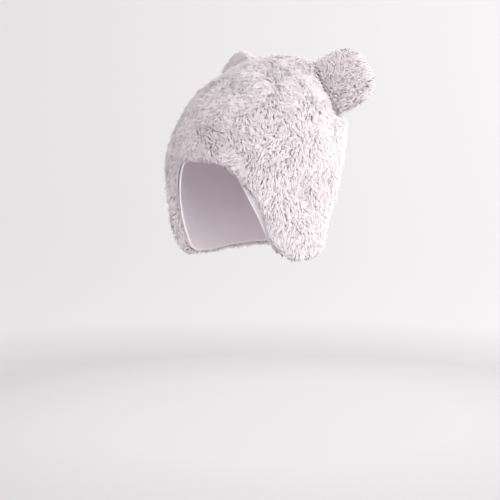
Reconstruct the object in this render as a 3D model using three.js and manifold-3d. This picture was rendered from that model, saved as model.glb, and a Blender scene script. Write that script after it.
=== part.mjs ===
// A baby's plush hat with bear ears: a deep-pile shell with ear flaps, its smooth lining and two padded ears.
// Millimetres, +Z up. The face opening looks towards -Y and the wearer's left is at +X.
// The origin is on the lining under the crown, where the top of the head sits.
import * as THREE from 'three'
import { mergeVertices } from 'three/addons/utils/BufferGeometryUtils.js'
import Module from 'manifold-3d'

const pileWall = 10.4 // backing cloth with its standing pile
const liningWall = 1.6
const clothGap = 0.4 // kept between the shell and the lining
const seamGap = 0.3 // kept between an ear and the shell
const rimSwell = 2.6 // how far the pile rounds out past the cut edge
const hemSwell = 0.7 // the same for the folded edge of the lining

// Level sections of the outer form: its half width, and where it ends at the front and at the back.
const sections = [
  { height: -200, halfWidth: 68, front: -106, back: 31 },
  { height: -173, halfWidth: 73, front: -113, back: 39 },
  { height: -153, halfWidth: 76.5, front: -117.5, back: 46 },
  { height: -133, halfWidth: 79.5, front: -120, back: 54 },
  { height: -113, halfWidth: 81.5, front: -121, back: 61 },
  { height: -93, halfWidth: 82.5, front: -121, back: 66 },
  { height: -75, halfWidth: 82, front: -115, back: 70.5 },
  { height: -56, halfWidth: 79, front: -105, back: 72 },
  { height: -38, halfWidth: 71.5, front: -92, back: 65 },
  { height: -28, halfWidth: 65.5, front: -82, back: 58.5 },
  { height: -19, halfWidth: 59.5, front: -69, back: 52.5 },
  { height: -8, halfWidth: 52.5, front: -50, back: 45 },
  { height: 1, halfWidth: 45.5, front: -31, back: 39 },
  { height: 7, halfWidth: 36.5, front: -13, back: 32 },
  { height: 11, halfWidth: 22, front: 2, back: 23 },
  { height: 12, halfWidth: 0, front: 12.5, back: 12.5 },
]

// The lower edge, by the angle around from the middle of the forehead: of the pile, and of the lining,
// which is rolled out along the front of each flap.
const edges = [
  { around: 0, shell: -88, lining: -88.6 },
  { around: 14, shell: -89, lining: -89.6 },
  { around: 22, shell: -93, lining: -94 },
  { around: 29, shell: -99.5, lining: -102 },
  { around: 36, shell: -110, lining: -118 },
  { around: 41, shell: -118, lining: -130 },
  { around: 45, shell: -125, lining: -139 },
  { around: 50, shell: -137, lining: -150 },
  { around: 54, shell: -152, lining: -161 },
  { around: 59, shell: -170, lining: -173 },
  { around: 67, shell: -181, lining: -183 },
  { around: 79, shell: -185.5, lining: -187.5 },
  { around: 94, shell: -185.5, lining: -187.5 },
  { around: 118, shell: -183, lining: -184 },
  { around: 148, shell: -180, lining: -180.6 },
  { around: 180, shell: -179, lining: -179.6 },
]

// Dents pressed in where the cloth is pulled by a seam or folds: centre, spread and depth.
const dents = [
  { around: 62, height: 2, spread: 26, tall: 10, depth: 1.6 }, // in front of each ear
  { around: 148, height: -2, spread: 24, tall: 12, depth: 1.8 }, // behind each ear
  { around: 24, height: -50, spread: 20, tall: 7, depth: 1.4 }, // the fold above the brow
  { around: 134, height: -143, spread: 24, tall: 12, depth: 2.2 }, // the tuck over the nape
  { around: 72, height: -128, spread: 13, tall: 22, depth: 1.5 }, // where the flap hangs free
]

const halfColumns = 31 // mesh columns over half the way round
const shellRows = 17 // mesh rows up the outside
const innerRows = 12 // and up the skins inside it
const rimRings = 3 // that round the edge between the two
const columnRun = { around: 1.2, drop: 0.55 } // what a degree round and a millimetre down count for in spacing them
const poleReach = 0.6 // the climb below the crown's point down to which its normal is taken from
const sampleStep = 0.5 // to either side, for a normal
const weld = 1e-4

// The ears: where the seam of each ends on the crown, how far it stands out, and its form. The right one is
// sewn on a little higher up the crown and stands less far back.
const ear = {
  seamTop: { x: 35, y: 18, z: 3 },
  seamFoot: { x: 72, y: 12, z: -51 },
  tip: { x: 95, y: 33.5, z: -2 },
  halfSpan: 31,
  frontSwell: 9.5,
  backSwell: 11.5,
  cup: 4, // how far the sides bend forward
  fullness: 2.6, // how late the padding thins out towards its edge
  roundness: 2.75,
  buried: 16, // the stretch inside the crown, cut away along the seam
  rings: 6,
  spokes: 26,
}
const rightEarShift = { x: -9, z: 3.5, tipY: -7 }

const rad = THREE.MathUtils.degToRad

// A smooth curve through the rows of a table, of one column against another, with no overshoot.
function column(rows, key, name) {
  const xs = rows.map((row) => row[key])
  const ys = rows.map((row) => row[name])
  const rise = xs.slice(1).map((x, i) => (ys[i + 1] - ys[i]) / (x - xs[i]))
  const slope = ys.map((_, i) => {
    if (i === 0 || i === ys.length - 1) return rise[Math.min(i, rise.length - 1)]
    return rise[i - 1] * rise[i] <= 0 ? 0 : (2 * rise[i - 1] * rise[i]) / (rise[i - 1] + rise[i])
  })
  return (x) => {
    const i = Math.max(0, Math.min(xs.length - 2, xs.findIndex((edge) => x <= edge) - 1))
    const step = xs[i + 1] - xs[i]
    const s = Math.min(1, Math.max(0, (x - xs[i]) / step))
    const rest = 1 - s
    return (
      ys[i] * (1 + 2 * s) * rest * rest +
      slope[i] * step * s * rest * rest +
      ys[i + 1] * (3 - 2 * s) * s * s -
      slope[i + 1] * step * s * s * rest
    )
  }
}

// Each section gets its distance up the side, so that the rows of the mesh close evenly over the crown.
const stations = sections.map((row) => ({ ...row, climb: 0 }))
for (let i = 1; i < stations.length; i++) {
  const [low, high] = [stations[i - 1], stations[i]]
  stations[i].climb = low.climb + Math.hypot(high.height - low.height, high.halfWidth - low.halfWidth)
}
const crownClimb = stations[stations.length - 1].climb
const heightAt = column(stations, 'climb', 'height')
const halfWidthAt = column(stations, 'climb', 'halfWidth')
const frontAt = column(stations, 'climb', 'front')
const backAt = column(stations, 'climb', 'back')
const climbAt = column(stations, 'height', 'climb')

function dentAt(around, height) {
  const side = Math.abs(around > 180 ? around - 360 : around)
  let depth = 0
  for (const dent of dents) {
    const across = (side - dent.around) / dent.spread
    const up = (height - dent.height) / dent.tall
    depth += dent.depth * Math.exp(-across * across - up * up)
  }
  return depth
}

function smoothPoint(around, climb) {
  const [front, back] = [frontAt(climb), backAt(climb)]
  const x = halfWidthAt(climb) * Math.sin(rad(around))
  const y = (front + back) / 2 - ((back - front) / 2) * Math.cos(rad(around))
  return new THREE.Vector3(x, y, heightAt(climb))
}

function normalAt(around, climb) {
  const level = Math.min(climb, crownClimb - poleReach)
  const across = smoothPoint(around + sampleStep, level).sub(smoothPoint(around - sampleStep, level))
  const up = smoothPoint(around, level + sampleStep).sub(smoothPoint(around, level - sampleStep))
  return across.cross(up).normalize()
}

// A point of the hat's form, moved in from the outside by a depth.
function formPoint(around, climb, depth) {
  if (climb > crownClimb - sampleStep / 50) return smoothPoint(around, crownClimb).setZ(heightAt(crownClimb) - depth)
  const inward = depth + dentAt(around, heightAt(climb))
  return smoothPoint(around, climb).addScaledVector(normalAt(around, climb), -inward)
}

const edgeHeights = {
  shell: column(edges, 'around', 'shell'),
  lining: column(edges, 'around', 'lining'),
}

// The columns of the mesh stand closer where the edge runs steeply down the front of a flap.
function columnAngles() {
  const drop = edgeHeights.shell
  const run = [0]
  for (let a = 1; a <= 180; a++) {
    run.push(run[a - 1] + Math.hypot(columnRun.around, columnRun.drop * (drop(a) - drop(a - 1))))
  }
  const half = []
  for (let i = 0; i <= halfColumns; i++) {
    const want = (run[180] * i) / halfColumns
    const a = Math.max(1, run.findIndex((value) => value >= want - 1e-9))
    half.push(a - 1 + (want - run[a - 1]) / (run[a] - run[a - 1]))
  }
  return [...half, ...half.slice(1, -1).reverse().map((a) => 360 - a)]
}
const angles = columnAngles()

// Rings of one skin at a depth inside the form, from its lower edge up to the crown. The last one is a point.
// The lining has one ring more below the shell's edge, and above it the two share their rows.
function skin(depth, rows, hem = []) {
  const climbs = (edge) => angles.map((around) => climbAt(edgeHeights[edge](Math.min(around, 360 - around))))
  const feet = climbs('shell')
  const ringAt = (levels) => angles.map((around, i) => formPoint(around, levels[i], depth))
  const rings = hem.map((edge) => ringAt(climbs(edge)))
  for (let row = 0; row < rows; row++) {
    rings.push(ringAt(feet.map((foot) => foot + ((crownClimb - foot) * row) / rows)))
  }
  return { rings, pole: formPoint(0, crownClimb, depth) }
}

// Rings that round the edge from the outer skin to the inner one.
function rim(outer, inner, swell) {
  const rings = []
  for (let step = 1; step <= rimRings; step++) {
    const turn = (Math.PI * step) / (rimRings + 1)
    rings.push(
      outer.rings[0].map((point, i) => {
        const across = inner.rings[0][i].clone().sub(point)
        const away = point.clone().sub(outer.rings[1][i]).projectOnPlane(across).normalize()
        const middle = point.clone().addScaledVector(across, 0.5 - 0.5 * Math.cos(turn))
        return middle.addScaledVector(away, swell * Math.sin(turn))
      }),
    )
  }
  return rings
}

// A closed mesh from rings that run from one pole to the other. The outer rings split their quads the other
// way, so that two skins which face each other are cut into the same triangles.
function closedForm(rings, firstPole, lastPole, outerCount = 0) {
  const count = rings[0].length
  const points = [firstPole, ...rings.flat(), lastPole]
  const faces = []
  for (let i = 0; i < count; i++) {
    const next = (i + 1) % count
    faces.push(0, 1 + i, 1 + next)
    for (let ring = 0; ring < rings.length - 1; ring++) {
      const [a, d] = [1 + ring * count + i, 1 + ring * count + next]
      const [b, c] = [a + count, d + count]
      if (ring < outerCount) faces.push(a, b, d, b, c, d)
      else faces.push(a, b, c, a, c, d)
    }
    const last = 1 + (rings.length - 1) * count
    faces.push(last + i, points.length - 1, last + next)
  }
  const geometry = new THREE.BufferGeometry()
  geometry.setAttribute('position', new THREE.Float32BufferAttribute(points.flatMap((p) => p.toArray()), 3))
  geometry.setIndex(faces)
  return geometry
}

function wall(outer, inner, swell) {
  const rings = [...[...outer.rings].reverse(), ...rim(outer, inner, swell), ...inner.rings]
  return closedForm(rings, outer.pole, inner.pole, outer.rings.length)
}

// The whole form filled down to its last section, grown by the seam gap: what an ear is trimmed by.
function crownBlock() {
  const whole = skin(-seamGap, shellRows)
  const foot = new THREE.Vector3(0, 0, sections[1].height)
  return closedForm([...whole.rings].reverse(), whole.pole, foot, whole.rings.length)
}

// An ear as a pillow in its own plane: u along its seam, v outwards, w forwards through it.
function earPillow(shift) {
  const spot = (at, back = 0) => new THREE.Vector3(at.x + shift.x, at.y + back, at.z + shift.z)
  const [top, foot, tip] = [spot(ear.seamTop), spot(ear.seamFoot), spot(ear.tip, shift.tipY)]
  const middle = top.clone().add(foot).multiplyScalar(0.5)
  const along = foot.clone().sub(top).normalize()
  const out = tip.clone().sub(middle)
  const skew = out.dot(along)
  out.addScaledVector(along, -skew)
  const reach = out.length()
  out.normalize()
  const forward = along.clone().cross(out)
  const halfReach = (reach + ear.buried) / 2
  const power = 2 / ear.roundness
  const bulge = (value) => Math.sign(value) * Math.abs(value) ** power

  const place = (spoke, spread, swell) => {
    const turn = (2 * Math.PI * spoke) / ear.spokes
    const u = spread * ear.halfSpan * bulge(Math.cos(turn))
    const v = halfReach - ear.buried + spread * halfReach * bulge(Math.sin(turn))
    const w = swell * Math.sqrt(Math.max(0, 1 - spread ** ear.fullness)) + ear.cup * (u / ear.halfSpan) ** 2
    const lean = (skew * Math.max(0, v)) / reach
    return middle.clone().addScaledVector(along, u + lean).addScaledVector(out, v).addScaledVector(forward, w)
  }
  const ring = (spread, swell) => Array.from({ length: ear.spokes }, (_, i) => place(i, spread, swell))
  const spreads = Array.from({ length: ear.rings }, (_, i) => Math.sin((Math.PI / 2) * ((i + 1) / ear.rings)))
  const front = spreads.map((spread) => ring(spread, ear.frontSwell))
  const back = spreads.slice(0, -1).reverse().map((spread) => ring(spread, -ear.backSwell))
  return closedForm([...front, ...back], place(0, 0, ear.frontSwell), place(0, 0, -ear.backSwell))
}

const wasm = await Module()
wasm.setup()

function toSolid(geometry) {
  const merged = mergeVertices(geometry, weld)
  return new wasm.Manifold(
    new wasm.Mesh({
      numProp: 3,
      vertProperties: new Float32Array(merged.attributes.position.array),
      triVerts: new Uint32Array(merged.index.array),
    }),
  )
}

function toGeometry(solid) {
  const mesh = solid.getMesh()
  const geometry = new THREE.BufferGeometry()
  geometry.setAttribute('position', new THREE.BufferAttribute(new Float32Array(mesh.vertProperties), 3))
  geometry.setIndex(new THREE.BufferAttribute(new Uint32Array(mesh.triVerts), 1))
  return geometry
}

// The same form on the other side, with its faces turned to point out again.
function mirrored(geometry) {
  const copy = geometry.clone()
  copy.scale(-1, 1, 1)
  const index = copy.index.array
  for (let i = 0; i < index.length; i += 3) [index[i + 1], index[i + 2]] = [index[i + 2], index[i + 1]]
  return copy
}

const plush = { color: 0xe6dcdf, roughness: 0.95, metalness: 0 }
const satin = { color: 0xf3eff6, roughness: 0.55, metalness: 0 }

const group = new THREE.Group()

function piece(name, geometry, finish) {
  const mesh = new THREE.Mesh(geometry, new THREE.MeshStandardMaterial(finish))
  mesh.name = name
  group.add(mesh)
}

const liningDepth = pileWall + clothGap
const hem = ['lining']
piece('plush_shell', wall(skin(0, shellRows), skin(pileWall, innerRows), rimSwell), plush)
piece(
  'lining',
  wall(skin(liningDepth, innerRows, hem), skin(liningDepth + liningWall, innerRows, hem), hemSwell),
  satin,
)

const block = toSolid(crownBlock())
piece('ear_left', toGeometry(toSolid(earPillow({ x: 0, z: 0, tipY: 0 })).subtract(block)), plush)
piece('ear_right', toGeometry(toSolid(mirrored(earPillow(rightEarShift))).subtract(block)), plush)

export default group
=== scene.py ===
import math

import bmesh
import bpy
import numpy as np
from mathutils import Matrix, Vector, noise
from mathutils.bvhtree import BVHTree
from mathutils.kdtree import KDTree


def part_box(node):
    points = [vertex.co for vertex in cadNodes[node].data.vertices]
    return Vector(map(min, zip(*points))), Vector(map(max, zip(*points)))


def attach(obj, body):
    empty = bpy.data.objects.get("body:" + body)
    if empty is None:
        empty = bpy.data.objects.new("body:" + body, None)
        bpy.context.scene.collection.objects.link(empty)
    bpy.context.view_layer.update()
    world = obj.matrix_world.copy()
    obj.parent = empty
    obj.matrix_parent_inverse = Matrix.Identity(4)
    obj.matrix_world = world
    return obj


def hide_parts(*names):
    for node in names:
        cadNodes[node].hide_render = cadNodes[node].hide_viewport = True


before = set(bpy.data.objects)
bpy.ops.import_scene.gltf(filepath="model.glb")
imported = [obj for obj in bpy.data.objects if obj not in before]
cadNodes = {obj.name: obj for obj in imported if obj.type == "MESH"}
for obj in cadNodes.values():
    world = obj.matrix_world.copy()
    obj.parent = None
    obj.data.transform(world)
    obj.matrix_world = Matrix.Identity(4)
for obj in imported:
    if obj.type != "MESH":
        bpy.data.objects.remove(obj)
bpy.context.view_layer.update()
rng = np.random.default_rng(11)

mm = 0.001


class Wire:
    # One output of a shader node. Multiplying it or raising it to a power adds the node that does so.
    def __init__(self, shader, socket):
        self.shader = shader
        self.socket = socket

    def maths(self, operation, a, b):
        return self.shader.node("ShaderNodeMath", {"operation": operation}, {0: a, 1: b})

    def __mul__(self, other):
        return self.maths("MULTIPLY", self, other)

    def __rmul__(self, other):
        return self.maths("MULTIPLY", other, self)

    def __pow__(self, other):
        return self.maths("POWER", self, other)

    def __rpow__(self, other):
        return self.maths("POWER", other, self)


class Shader:
    def __init__(self, name):
        self.material = bpy.data.materials.new(name)
        self.material.use_nodes = True
        self.tree = self.material.node_tree
        self.surface = self.tree.nodes["Principled BSDF"]

    def node(self, kind, settings, inputs, out=0):
        made = self.tree.nodes.new(kind)
        for key, value in settings.items():
            if key == "stops":
                # from 0 to 1; a new ramp has the first and the last already
                for place, _ in value[1:-1]:
                    made.color_ramp.elements.new(place)
                for element, (place, colour) in zip(made.color_ramp.elements, value):
                    element.position = place
                    element.color = (*colour, 1)
            else:
                setattr(made, key, value)
        for key, value in inputs.items():
            self.feed(made.inputs[key], value)
        return Wire(self, made.outputs[out])

    def feed(self, socket, value):
        if isinstance(value, Wire):
            self.tree.links.new(value.socket, socket)
        elif hasattr(value, "__len__") and len(value) == 3 and socket.type == "RGBA":
            socket.default_value = (*value, 1)
        else:
            socket.default_value = value

    def ramp(self, factor, stops):
        return self.node("ShaderNodeValToRGB", {"stops": stops}, {0: factor})

    def blend(self, factor, a, b, how="MIX"):
        # 0 is the factor of a colour Mix node, 6 and 7 its two colours, and 2 is its colour result
        settings = {"data_type": "RGBA", "blend_type": how}
        return self.node("ShaderNodeMix", settings, {0: factor, 6: a, 7: b}, 2)

    def place(self):
        return self.node("ShaderNodeTexCoord", {}, {}, "Object")

    def vector(self, operation, inputs, out=0):
        return self.node("ShaderNodeVectorMath", {"operation": operation}, inputs, out)

    def noise(self, size, detail):
        inputs = {"Vector": self.place(), "Scale": 1 / size, "Detail": detail}
        return self.node("ShaderNodeTexNoise", {}, inputs)

    def bump(self, height, depth):
        return self.node("ShaderNodeBump", {}, {"Height": height, "Distance": depth, "Strength": 1.0})

    def reading(self, attribute):
        return self.node("ShaderNodeAttribute", {"attribute_name": attribute}, {}, "Fac")

    def finish(self, **values):
        for key, value in values.items():
            self.feed(self.surface.inputs[key.replace("_", " ")], value)
        return self.material


def meshArrays(mesh):
    points = np.zeros(len(mesh.vertices) * 3)
    mesh.vertices.foreach_get("co", points)
    mesh.calc_loop_triangles()
    corners = np.zeros(len(mesh.loop_triangles) * 3, int)
    mesh.loop_triangles.foreach_get("vertices", corners)
    return points.reshape(-1, 3), corners.reshape(-1, 3)


def unit(vectors):
    return vectors / np.maximum(np.linalg.norm(vectors, axis=1, keepdims=True), 1e-12)


def vertexNormals(points, triangles):
    a, b, c = (points[triangles[:, i]] for i in range(3))
    across = np.cross(b - a, c - a)
    normals = np.zeros_like(points)
    for i in range(3):
        np.add.at(normals, triangles[:, i], across)
    return unit(normals)


def smoothStep(low, high, values):
    share = np.clip((values - low) / (high - low), 0, 1)
    return share * share * (3 - 2 * share)


def addObject(name, data, material=None):
    made = bpy.data.objects.new(name, data)
    bpy.context.scene.collection.objects.link(made)
    if material:
        made.data.materials.append(material)
    return made


def shadeSmooth(mesh):
    mesh.polygons.foreach_set("use_smooth", [True] * len(mesh.polygons))


def applyModifiers(made):
    # The object gets the mesh that its modifiers make, and keeps none of them.
    graph = bpy.context.evaluated_depsgraph_get()
    mesh = bpy.data.meshes.new_from_object(made.evaluated_get(graph))
    made.modifiers.clear()
    made.data = mesh


def evenForm(node, voxel, passes):
    # The CAD form of a node as an even mesh with its facets smoothed away.
    source = cadNodes[node].data.copy()
    source.materials.clear()
    made = addObject(node + "_form", source)
    remesh = made.modifiers.new("even", "REMESH")
    remesh.mode = "VOXEL"
    remesh.voxel_size = voxel
    applyModifiers(made)
    mesh = made.data
    points, triangles = meshArrays(mesh)
    edges = np.zeros(len(mesh.edges) * 2, int)
    mesh.edges.foreach_get("vertices", edges)
    edges = edges.reshape(-1, 2)
    degree = np.bincount(edges.ravel(), minlength=len(points))[:, None]
    # each step in is followed by a slightly longer one back out, so that the form keeps its size
    stepIn, stepOut = 0.55, -0.57
    for turn in range(passes):
        total = np.zeros_like(points)
        np.add.at(total, edges[:, 0], points[edges[:, 1]])
        np.add.at(total, edges[:, 1], points[edges[:, 0]])
        step = stepIn if turn % 2 == 0 else stepOut
        points = points + step * (total / degree - points)
    mesh.vertices.foreach_set("co", points.ravel())
    mesh.update()
    return made, points, triangles


def nearest(points, tree):
    # The spot on the tree's surface that is nearest to each point, and how far away it is.
    found = [tree.find_nearest(Vector(p)) for p in points]
    return np.array([f[0] for f in found]), np.array([f[3] for f in found])


def treeOf(node):
    points, triangles = meshArrays(cadNodes[node].data)
    return BVHTree.FromPolygons([Vector(p) for p in points], triangles.tolist())


pile = {
    "spacing": 1.35 * mm,      # between tufts, measured at their tips
    "width": 1.08 * mm,        # of a tuft at its fullest
    "widthSpread": (0.8, 1.2),
    "lockSpacing": 3.4 * mm,   # between the middles of the locks that tufts gather in
    "gather": 0.16,            # how far the tips of a lock close up
    "lean": 7.6 * mm,          # how far a tip lies over from its root
    "leanSpread": (0.75, 1.2),  # from tuft to tuft
    "lockLean": 0.3,           # the same from lock to lock, as a deviation
    "lockLeanEnds": (-0.7, 0.8),
    "leansFrom": (1 * mm, 3.2 * mm),  # the height of pile over which it starts to lie over
    "swirl": 1.1,              # how far, in radians, the lie of the pile wanders
    "swirlSize": 24 * mm,
    "smallSwirl": 0.5,         # a second wandering on top, by its share of the first
    "smallSwirlSize": 0.4,     # and its size by that of the first
    "stray": 0.22,             # radians by which single locks and tufts turn out of the lie
    "reach": (0.9, 1.0),       # how much of the pile's height a tuft stands up
    "overrun": (0.5 * mm, 3.4 * mm),  # by which the shortest and longest tips pass the outer form
    "loose": 0.28,             # the share of tufts that are thin and stand out loosely
    "looseOut": 4.0 * mm,      # how much further those reach
    "looseLean": 0.5,
    "looseWidth": 0.62,
    "rise": 2.1,               # how soon a tuft has risen: more is sooner
    "droop": 0.16,             # how far its tip sinks back
    "bend": 1.5,               # how late it lies over: more is later
    "curl": 1.0 * mm,
    "curlTurn": 2.4,           # radians of the curl's wave from foot to tip
    "ringAt": (0.0, 0.42, 0.78, 1.0),
    "ringWidth": (1.0, 0.75),
    "softness": 0.92,          # how far a tuft's shading follows the outer form, not its own sides
    "ownTone": 0.6,            # the share of a tuft's tone that is its own, not its lock's
    "mapAcross": (0.14, 0.5, 0.86),  # where the three corners of a ring lie in a tuft's cell of the map
    "mapMargin": 0.08,
}


def spotsOn(points, triangles, chosen, shares):
    return (points[triangles[chosen]] * shares[:, :, None]).sum(1)


def scatter(points, triangles, weight, spacing):
    # Random spots on the triangles that keep about a spacing apart: each small cell keeps one.
    triesPerSpot, cellSize = 3.2, 0.93 * spacing
    cellPrimes = (73856093, 19349663, 83492791)  # large, so that two cells hardly ever share a key
    a, b, c = (points[triangles[:, i]] for i in range(3))
    area = 0.5 * np.linalg.norm(np.cross(b - a, c - a), axis=1) * weight
    wanted = int(area.sum() / spacing**2 * triesPerSpot)
    chosen = rng.choice(len(triangles), wanted, p=area / area.sum())
    u, v = rng.random(wanted), rng.random(wanted)
    over = u + v > 1
    u[over], v[over] = 1 - u[over], 1 - v[over]
    shares = np.stack([1 - u - v, u, v], 1)
    cells = np.floor(spotsOn(points, triangles, chosen, shares) / cellSize).astype(np.int64)
    keys = np.bitwise_xor.reduce(cells * np.array(cellPrimes), axis=1)
    _, first = np.unique(keys, return_index=True)
    return chosen[first], shares[first]


def wander(points, size, seed):
    # A smooth field of numbers from about -1 to 1 over the surface. Each seed gives another field.
    shift = Vector([seed * step for step in (3.7, 1.3, 2.1)])
    stretch = 1.6  # the noise itself seldom goes past 0.6
    return np.array([noise.noise(Vector(p) / size + shift) for p in points]) * stretch


def heldIn(line, outer, allowed):
    # The points brought back so that none stands further out of the outer form than it is allowed.
    held = line.copy()
    for i, point in enumerate(line):
        spot, normal, _, _ = outer.find_nearest(Vector(point))
        out = (Vector(point) - spot).dot(normal)
        if out > allowed[i]:
            held[i] = spot + normal * allowed[i]
    return held


def gatherLocks(form, triangles, weight, tips):
    # The lock that each tuft is in, how far each lock turns out of the lie, and how much it leans.
    spots = spotsOn(form, triangles, *scatter(form, triangles, weight, pile["lockSpacing"]))
    tree = KDTree(len(spots))
    for i, spot in enumerate(spots):
        tree.insert(spot, i)
    tree.balance()
    lock = np.array([tree.find(tip)[1] for tip in tips])
    turn = wander(spots, pile["swirlSize"], 1) * pile["swirl"]
    small = wander(spots, pile["swirlSize"] * pile["smallSwirlSize"], 2)
    turn += small * pile["swirl"] * pile["smallSwirl"]
    turn += rng.normal(0, pile["stray"], len(spots))
    lean = 1 + rng.normal(0, pile["lockLean"], len(spots)).clip(*pile["lockLeanEnds"])
    return lock, turn, lean


def closedUp(line, lock, locks, share):
    # The points of a ring drawn towards the middle of their own lock.
    middle = np.zeros((locks, 3))
    np.add.at(middle, lock, line)
    middle /= np.maximum(np.bincount(lock, minlength=locks), 1)[:, None]
    return line + (middle[lock] - line) * share


def tuftSides(lines, normals, width):
    # Three corners at each ring between the foot and the tip, and the way each corner faces.
    corners, facings = [lines[0]], [normals]
    spin = rng.uniform(0, 2 * math.pi, len(normals))
    aside = 0.01  # keeps a tuft that stands straight up from having no sideways
    for k, share in enumerate(pile["ringWidth"], start=1):
        ahead = unit(lines[k + 1] - lines[k - 1])
        sideways = unit(np.cross(ahead, normals + aside))
        other = np.cross(ahead, sideways)
        for j in range(3):
            angle = spin + 2 * math.pi * j / 3
            ray = sideways * np.cos(angle)[:, None] + other * np.sin(angle)[:, None]
            corners.append(lines[k] + ray * (width * share)[:, None])
            facings.append(unit(ray * (1 - pile["softness"]) + normals * pile["softness"]))
    return np.stack([*corners, lines[-1]], 1), np.stack([*facings, normals], 1)


def growPile(form, roots, triangles, weight, lie, leanScale=1.0):
    # Tufts from the roots' surface to the outer form: their corners, the way these face, and their tones.
    outer = BVHTree.FromPolygons([Vector(p) for p in form], triangles.tolist())
    chosen, shares = scatter(form, triangles, weight, pile["spacing"])
    tips = spotsOn(form, triangles, chosen, shares)
    feet = spotsOn(roots, triangles, chosen, shares)
    height = np.linalg.norm(tips - feet, axis=1)
    normals = unit(tips - feet)
    count = len(tips)
    lock, lockTurn, lockLean = gatherLocks(form, triangles, weight, tips)

    wish = lie(tips)
    flat = unit(wish - normals * (wish * normals).sum(1)[:, None])
    side = np.cross(normals, flat)
    turn = lockTurn[lock] + rng.normal(0, pile["stray"], count)
    comb = flat * np.cos(turn)[:, None] + side * np.sin(turn)[:, None]
    across = np.cross(normals, comb)
    loose = rng.random(count) < pile["loose"]
    lean = pile["lean"] * leanScale * lockLean[lock] * rng.uniform(*pile["leanSpread"], count)
    lean *= smoothStep(*pile["leansFrom"], height) * np.linalg.norm(wish, axis=1).clip(0, 1)
    lean *= np.where(loose, pile["looseLean"], 1)
    shortest, longest = pile["overrun"]
    overrun = shortest + (longest - shortest) * rng.random(count) ** 2
    overrun += loose * pile["looseOut"] * rng.random(count)
    reach = height * rng.uniform(*pile["reach"], count) + overrun
    curl = rng.normal(0, pile["curl"], count)
    width = pile["width"] * 0.5 * rng.uniform(*pile["widthSpread"], count)
    width *= np.where(loose, pile["looseWidth"], 1)

    # a bent line from foot to tip: up out of the cloth, then over along the lie
    lines = []
    for s in pile["ringAt"]:
        up = reach * (1 - (1 - s) ** pile["rise"]) * (1 - pile["droop"] * s**4)
        line = feet + normals * up[:, None] + comb * (lean * s ** pile["bend"])[:, None]
        line += across * (curl * math.sin(pile["curlTurn"] * s))[:, None]
        if s > 0:
            line = closedUp(line, lock, len(lockTurn), pile["gather"] * s ** pile["bend"])
            line = heldIn(line, outer, overrun * s**2)
        lines.append(line)
    corners, facings = tuftSides(lines, normals, width)
    ownTone, lockTone = rng.random(count), rng.random(len(lockTurn))
    tone = pile["ownTone"] * ownTone + (1 - pile["ownTone"]) * lockTone[lock]
    return corners, facings, tone


def tuftFaces(rings):
    # The triangles of one tuft, closed from its foot to its tip.
    faces = [(0, 1 + (j + 1) % 3, 1 + j) for j in range(3)]
    for low in range(1, 3 * rings - 2, 3):
        for j in range(3):
            a, b = low + j, low + (j + 1) % 3
            faces += [(a, b, b + 3), (a, b + 3, a + 3)]
    last = 3 * rings - 2
    return faces + [(last + j, last + (j + 1) % 3, last + 3) for j in range(3)]


def pileObject(name, grown, pick, material):
    corners, facings, tone = (part[pick] for part in grown)
    count, perTuft = corners.shape[:2]
    rings = len(pile["ringWidth"])
    tuft = np.array(tuftFaces(rings))
    faces = ((np.arange(count) * perTuft)[:, None, None] + tuft[None]).reshape(-1, 3)
    mesh = bpy.data.meshes.new(name)
    mesh.vertices.add(count * perTuft)
    mesh.vertices.foreach_set("co", corners.ravel())
    mesh.loops.add(len(faces) * 3)
    mesh.loops.foreach_set("vertex_index", faces.ravel())
    mesh.polygons.add(len(faces))
    mesh.polygons.foreach_set("loop_start", np.arange(len(faces)) * 3)
    shadeSmooth(mesh)
    mesh.update(calc_edges=True)
    mesh.normals_split_custom_set_from_vertices(facings.reshape(-1, 3))

    heights = np.repeat(np.array(pile["ringAt"]), [1] + [3] * rings + [1])
    along = mesh.attributes.new("along", "FLOAT", "POINT")
    along.data.foreach_set("value", np.tile(heights, count))
    shade = mesh.attributes.new("shade", "FLOAT", "POINT")
    shade.data.foreach_set("value", np.repeat(tone, perTuft))

    # an upright cell of the map for each tuft
    uv = mesh.uv_layers.new(name="OFBake")
    wide = math.ceil(math.sqrt(count))
    cell = np.stack([np.arange(count) % wide, np.arange(count) // wide], 1)
    mapUp = pile["mapMargin"] + (1 - 2 * pile["mapMargin"]) * heights
    inCell = np.stack([[0.5, *pile["mapAcross"] * rings, 0.5], mapUp], 1)
    spots = ((cell[:, None] + inCell[None]) / wide).reshape(-1, 2)
    uv.data.foreach_set("uv", spots[faces.ravel()].ravel())
    print(name, "tufts", count, "triangles", len(faces))
    return addObject(name, mesh, material)


pileFinish = {
    # the deeper, more mauve tones towards the root are painted shade down in the pile; the tip has the
    # fur's own pale colour
    "root": (0.89, 0.775, 0.80),
    "middle": (0.90, 0.825, 0.845),
    "tip": (0.90, 0.873, 0.88),
    "climb": 0.9,       # below 1 the paler tones start lower down a tuft
    "deep": (0.78, 0.665, 0.70),
    "deepShare": 0.16,  # how far the most toned tufts go towards it
    "roughness": 0.9,
    "evenness": 1.0,    # the roughness of the diffuse part, which keeps the edges of the form pale
    "sheen": 0.12,
    "sheenRoughness": 0.5,
    "specular": 0.1,
}
clothFinish = {
    # the backing's deeper mauve, like the tufts' roots, is painted shade down between the tufts
    "low": (0.84, 0.74, 0.775),
    "high": (0.90, 0.82, 0.845),
    "tuftSize": 2.2 * mm,
    "tuftDetail": 3.0,
    "tuftDepth": 1.2 * mm,
    "roughness": 0.95,
    "specular": 0.1,
}
liningFinish = {
    # the inside colours are darker than the hem as painted shade inside the hat; the hem has the lining's
    # own near-white, a touch paler still as painted light where the fur shades it
    "shadedInside": (0.83, 0.755, 0.795),
    "shade": (0.78, 0.70, 0.745),
    "shadeSize": 26 * mm,
    "hem": (0.985, 0.97, 0.99),
    "rib": 0.9 * mm,
    "ribDepth": 0.12 * mm,
    "roughness": 0.5,
    "sheen": 0.25,
    "specular": 0.35,
}


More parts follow.
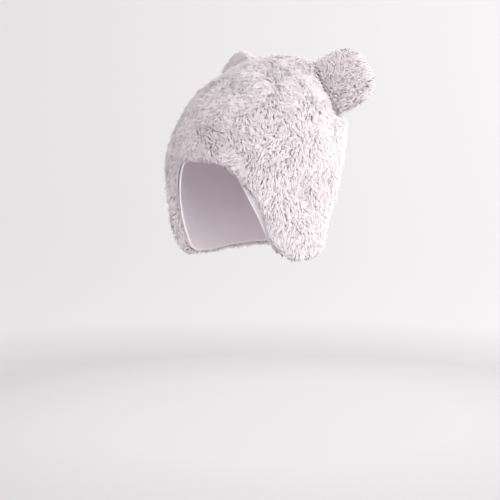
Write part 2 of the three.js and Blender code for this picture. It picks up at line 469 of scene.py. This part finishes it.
def pileMaterial():
    look = Shader("plush_pile")
    # painted shade: each tuft goes from a deeper, more mauve root to its pale tip
    stops = [(0.0, pileFinish["root"]), (0.5, pileFinish["middle"]), (1.0, pileFinish["tip"])]
    colour = look.ramp(look.reading("along") ** pileFinish["climb"], stops)
    toned = look.blend(look.reading("shade") * pileFinish["deepShare"], colour, pileFinish["deep"])
    return look.finish(
        Base_Color=toned,
        Roughness=pileFinish["roughness"],
        Diffuse_Roughness=pileFinish["evenness"],
        Sheen_Weight=pileFinish["sheen"],
        Sheen_Roughness=pileFinish["sheenRoughness"],
        Specular_IOR_Level=pileFinish["specular"],
    )


def clothMaterial():
    look = Shader("plush_backing")
    tufts = look.noise(clothFinish["tuftSize"], clothFinish["tuftDetail"])
    # the colour is painted shade in the gaps of the pile, in random patches from the noise
    return look.finish(
        Base_Color=look.blend(tufts, clothFinish["low"], clothFinish["high"]),
        Roughness=clothFinish["roughness"],
        Normal=look.bump(tufts, clothFinish["tuftDepth"]),
        Specular_IOR_Level=clothFinish["specular"],
    )


def liningMaterial():
    look = Shader("lining_jersey")
    cloudy = look.noise(liningFinish["shadeSize"], detail=2.0)
    knit = look.noise(liningFinish["rib"], detail=1.0)
    # painted shade: away from the hem the lining is darker, in cloudy patches
    inside = look.blend(cloudy, liningFinish["shadedInside"], liningFinish["shade"])
    return look.finish(
        Base_Color=look.blend(look.reading("hem"), inside, liningFinish["hem"]),
        Roughness=liningFinish["roughness"],
        Normal=look.bump(knit, liningFinish["ribDepth"]),
        Sheen_Weight=liningFinish["sheen"],
        Specular_IOR_Level=liningFinish["specular"],
    )


def makeCloth(form, roots, backing, name):
    # The form drawn in to the feet of the pile becomes the cloth that the pile stands on.
    form.data.vertices.foreach_set("co", roots.ravel())
    form.data.update()
    shadeSmooth(form.data)
    form.data.materials.append(backing)
    form.name = name


shellMake = {
    "voxel": 2.3 * mm,
    "smoothing": 10,
    "pileHeight": 3.9 * mm,
    "leastPile": 1.2 * mm,            # what is shorter than this is left bare
    "facesOut": (-1.0, -0.1),         # from facing the lining, which is bare, to nearly edge-on to it
    "fromLining": (0.5 * mm, 2 * mm),  # the distance over which the pile starts beside the lining
    "fromEar": (0.2 * mm, 0.8 * mm),  # and beside an ear
    "waves": 1.3 * mm,                # how far the outside rises and falls
    "waveSize": 26 * mm,
    "crown": (0, 12 * mm),            # the spot that the pile lies away from, seen from above
    "outwards": 0.8,
    "downwards": (0, 0.12, -1.0),
    "middle": -24 * mm,               # from front to back, the axis that the pile is divided round
    "parts": (("brow", 0, 55), ("temple", 55, 110), ("nape", 110, 181)),  # in degrees round from the front
}


def makeShell(material, backing):
    form, points, triangles = evenForm("plush_shell", shellMake["voxel"], shellMake["smoothing"])
    normals = vertexNormals(points, triangles)
    spots, away = nearest(points, treeOf("lining"))
    outward = (normals * unit(points - spots)).sum(1)
    # full pile outside, shorter round the edge, and none on the face towards the lining
    standing = smoothStep(*shellMake["facesOut"], outward) * smoothStep(*shellMake["fromLining"], away)
    drop = shellMake["pileHeight"] * standing
    waves = wander(points, shellMake["waveSize"], 5) * shellMake["waves"] * standing
    points = points + normals * waves[:, None]
    roots = points - normals * drop[:, None]
    makeCloth(form, roots, backing, "shell_cloth")

    # no pile under the ears
    clear = np.ones(len(points))
    for ear in ("ear_left", "ear_right"):
        clear *= smoothStep(*shellMake["fromEar"], nearest(points, treeOf(ear))[1])
    bare = (drop[triangles].min(1) < shellMake["leastPile"]) | (clear[triangles].min(1) < 0.5)

    def lie(at):
        # down the sides, and away from the top of the crown over it
        out = np.zeros_like(at)
        out[:, :2] = at[:, :2] - np.array(shellMake["crown"])
        return unit(out) * shellMake["outwards"] + np.array(shellMake["downwards"])

    grown = growPile(points, roots, triangles, (~bare).astype(float), lie)
    feet = grown[0][:, 0]
    bearing = np.degrees(np.arctan2(feet[:, 0], shellMake["middle"] - feet[:, 1]))
    pieces = [form]
    for side, onSide in (("left", bearing >= 0), ("right", bearing < 0)):
        for part, low, high in shellMake["parts"]:
            here = onSide & (np.abs(bearing) >= low) & (np.abs(bearing) < high)
            pieces.append(pileObject("pile_" + part + "_" + side, grown, here, material))
    return pieces


earMake = {
    "voxel": 1.7 * mm,
    "smoothing": 8,
    "pileHeight": 4.0 * mm,
    "leastPile": 1.0 * mm,
    "leanScale": 0.8,
    "fromCrown": (0.15 * mm, 1.3 * mm),  # the distance over which the pile starts beside the seam
    "seam": 1.5 * mm,                    # what is nearer than this to the crown is the seam
    "liesFrom": (-4 * mm, 14 * mm),      # the distance over which the pile starts to lie over
}


def makeEar(node, material, backing):
    form, points, triangles = evenForm(node, earMake["voxel"], earMake["smoothing"])
    normals = vertexNormals(points, triangles)
    crown = treeOf("plush_shell")
    _, gap = nearest(points, crown)
    drop = earMake["pileHeight"] * smoothStep(*earMake["fromCrown"], gap)
    roots = points - normals * drop[:, None]
    makeCloth(form, roots, backing, node + "_cloth")
    seam = points[gap < earMake["seam"]].mean(0)

    def lie(at):
        # outwards from the seam to the rim, and upright next to the seam
        _, away = nearest(at, crown)
        return unit(at - seam) * smoothStep(*earMake["liesFrom"], away)[:, None]

    bare = drop[triangles].min(1) < earMake["leastPile"]
    grown = growPile(points, roots, triangles, (~bare).astype(float), lie, earMake["leanScale"])
    return form, pileObject("pile_" + node, grown, slice(None), material)


liningMake = {
    "hemBlend": (-1 * mm, 4 * mm),  # above the shell's edge, where the rolled hem turns into the inside
    "hemEnds": (1.0, 1.25),         # radians round from the forehead, where the roll ends on a flap
    "edgeStep": 3,                  # degrees between the places where the shell's edge is measured
    "weld": 0.001 * mm,
    "joinFlat": 0.8,                # radians: two triangles flatter and squarer than this become one face
    "joinSquare": 1.2,
}


def hemShare(points):
    # 1 on the stretch that is rolled out past the shell's edge, and 0 further in, where the lining is
    # painted darker as shade.
    shell, _ = meshArrays(cadNodes["plush_shell"].data)
    middle = shell.mean(0)
    bearing = np.arctan2(shell[:, 0] - middle[0], middle[1] - shell[:, 1])
    sector = np.round(bearing / math.radians(liningMake["edgeStep"])).astype(int)
    lowest = [np.flatnonzero(sector == k)[np.argmin(shell[sector == k, 2])] for k in np.unique(sector)]
    order = np.argsort(bearing[lowest])
    edgeAt, edgeHeight = bearing[lowest][order], shell[lowest, 2][order]
    here = np.arctan2(points[:, 0] - middle[0], middle[1] - points[:, 1])
    above = points[:, 2] - np.interp(here, edgeAt, edgeHeight, period=2 * math.pi)
    front = 1 - smoothStep(*liningMake["hemEnds"], np.abs(here))
    return (1 - smoothStep(*liningMake["hemBlend"], above)) * front


def makeLining(material):
    made = addObject("lining_bag", cadNodes["lining"].data.copy())
    made.data.materials.clear()
    made.data.materials.append(material)
    work = bmesh.new()
    work.from_mesh(made.data)
    bmesh.ops.remove_doubles(work, verts=work.verts, dist=liningMake["weld"])
    bmesh.ops.join_triangles(
        work,
        faces=work.faces,
        angle_face_threshold=liningMake["joinFlat"],
        angle_shape_threshold=liningMake["joinSquare"],
        cmp_seam=False,
    )
    work.to_mesh(made.data)
    work.free()
    smooth = made.modifiers.new("smooth", "SUBSURF")
    smooth.levels = 1
    smooth.render_levels = 1
    applyModifiers(made)
    shadeSmooth(made.data)
    points, _ = meshArrays(made.data)
    hem = made.data.attributes.new("hem", "FLOAT", "POINT")
    hem.data.foreach_set("value", hemShare(points))
    return made


studio = {
    "turn": 40,            # degrees round from the front, towards the wearer's left
    "tilt": 4.5,           # degrees down
    "distance": 1.304,
    "lens": 93.3,
    "aim": (0.0004, -0.036, -0.183),
    "floorDrop": 0.17,     # below the tips of the flaps
    "floorReach": 3.2,
    "wallHeight": 3.6,
    "flatShare": 0.1,      # of the reach, before the floor turns up
    "wallCurve": 5,        # how late it turns up: more is later
    "steps": 96,           # round the floor
    "rings": 60,           # from its middle to its edge
    "paper": (0.25, 0.245, 0.248),
    "glowLeft": (0.535, 0.512, 0.525),
    "glowRight": (0.72, 0.716, 0.716),
    "glowReach": 0.9,      # metres either side of the hat over which one turns into the other
    "near": 0.91,          # how bright the floor is under the hat, against the wall
    "dim": 0.77,           # and at its dimmest, in a ring round the hat
    "dimming": (0.2, 0.4, 0.75),  # metres out: the end of near, the dimmest ring, and the start of full
    "lit": (0, -0.03, -0.09),     # the spot that the lights face
    "air": (0.95, 0.79, 0.85),
    "airLight": 0.28,
}
lights = {
    # the big soft key stands to the camera's right, and a much weaker light near the camera
    "key": {"place": (1.9, 0.06, 0.28), "size": (3.4, 2.4), "watts": 82, "colour": (1.0, 1.0, 0.998)},
    "front": {"place": (1.2, -1.7, 0.7), "size": (2.8, 2.4), "watts": 12, "colour": (1.0, 0.985, 0.99)},
}


def makeCamera():
    data = bpy.data.cameras.new("camera")
    data.lens = studio["lens"]
    data.sensor_width = 36
    data.sensor_fit = "HORIZONTAL"
    data.clip_end = 50
    camera = addObject("camera", data)
    turn, tilt = math.radians(studio["turn"]), math.radians(studio["tilt"])
    back = Vector((math.sin(turn) * math.cos(tilt), -math.cos(turn) * math.cos(tilt), math.sin(tilt)))
    camera.location = Vector(studio["aim"]) + back * studio["distance"]
    camera.rotation_euler = back.to_track_quat("Z", "Y").to_euler()
    bpy.context.scene.camera = camera


def paperMaterial():
    # pale paper with a glow of its own, which is weaker to the left and in a ring round the hat
    look = Shader("studio_paper")
    place = look.place()
    turn, reach = math.radians(studio["turn"]), studio["glowReach"]
    side = look.vector("DOT_PRODUCT", {0: place, 1: (math.cos(turn), math.sin(turn), 0)}, "Value")
    share = look.node("ShaderNodeMapRange", {"clamp": True}, {0: side, 1: -reach, 2: reach})
    glow = look.blend(share, studio["glowLeft"], studio["glowRight"])
    radius = look.vector("LENGTH", {0: look.vector("MULTIPLY", {0: place, 1: (1, 1, 0)})}, "Value")
    near, dim, full = ((value, value, value) for value in (studio["near"], studio["dim"], 1))
    nearTo, dimAt, fullFrom = studio["dimming"]
    fading = look.ramp(radius, [(0.0, near), (nearTo, near), (dimAt, dim), (fullFrom, full), (1.0, full)])
    return look.finish(
        Base_Color=studio["paper"],
        Roughness=0.9,
        Emission_Color=look.blend(1.0, glow, fading, "MULTIPLY"),
        Emission_Strength=1.0,
    )


def makeStudio():
    # a pale floor that rises into the wall all the way round
    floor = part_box("plush_shell")[0].z - studio["floorDrop"]
    steps, rings = studio["steps"], studio["rings"]
    reach, flat = studio["floorReach"], studio["flatShare"]
    angles = [2 * math.pi * i / steps for i in range(steps)]
    work = bmesh.new()
    middle = work.verts.new((0, 0, floor))
    loops = []
    for k in range(1, rings + 1):
        share = k / rings
        rise = studio["wallHeight"] * (max(0, share - flat) / (1 - flat)) ** studio["wallCurve"]
        spots = [(reach * share * math.cos(a), reach * share * math.sin(a), floor + rise) for a in angles]
        loops.append([work.verts.new(spot) for spot in spots])
    for i in range(steps):
        j = (i + 1) % steps
        work.faces.new((middle, loops[0][i], loops[0][j]))
        for low, high in zip(loops, loops[1:]):
            work.faces.new((low[i], high[i], high[j], low[j]))
    mesh = bpy.data.meshes.new("studio_floor")
    work.to_mesh(mesh)
    work.free()
    shadeSmooth(mesh)
    made = addObject("studio_floor", mesh, paperMaterial())


def makeLights():
    for name, light in lights.items():
        data = bpy.data.lights.new(name, "AREA")
        data.shape = "RECTANGLE"
        data.size, data.size_y = light["size"]
        data.energy = light["watts"]
        data.color = light["colour"]
        made = addObject(name, data)
        made.location = light["place"]
        back = Vector(light["place"]) - Vector(studio["lit"])
        made.rotation_euler = back.to_track_quat("Z", "Y").to_euler()
    world = bpy.data.worlds.new("studio_air")
    world.use_nodes = True
    colour, strength = world.node_tree.nodes["Background"].inputs[:2]
    colour.default_value = (*studio["air"], 1)
    strength.default_value = studio["airLight"]
    bpy.context.scene.world = world
    view = bpy.context.scene.view_settings
    view.view_transform = "Standard"
    view.look = "None"


makeCamera()
makeStudio()
makeLights()
print("studio ready")

pileLook, clothLook, liningLook = pileMaterial(), clothMaterial(), liningMaterial()

shellPieces = makeShell(pileLook, clothLook)
for piece in shellPieces:
    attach(piece, "root")
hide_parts("plush_shell")
print("shell ready")

for ear in ("ear_left", "ear_right"):
    cloth, earPile = makeEar(ear, pileLook, clothLook)
    for piece in (cloth, earPile):
        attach(piece, "root")
    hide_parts(ear)
print("ears ready")

lining = makeLining(liningLook)
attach(lining, "root")
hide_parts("lining")
print("lining ready")
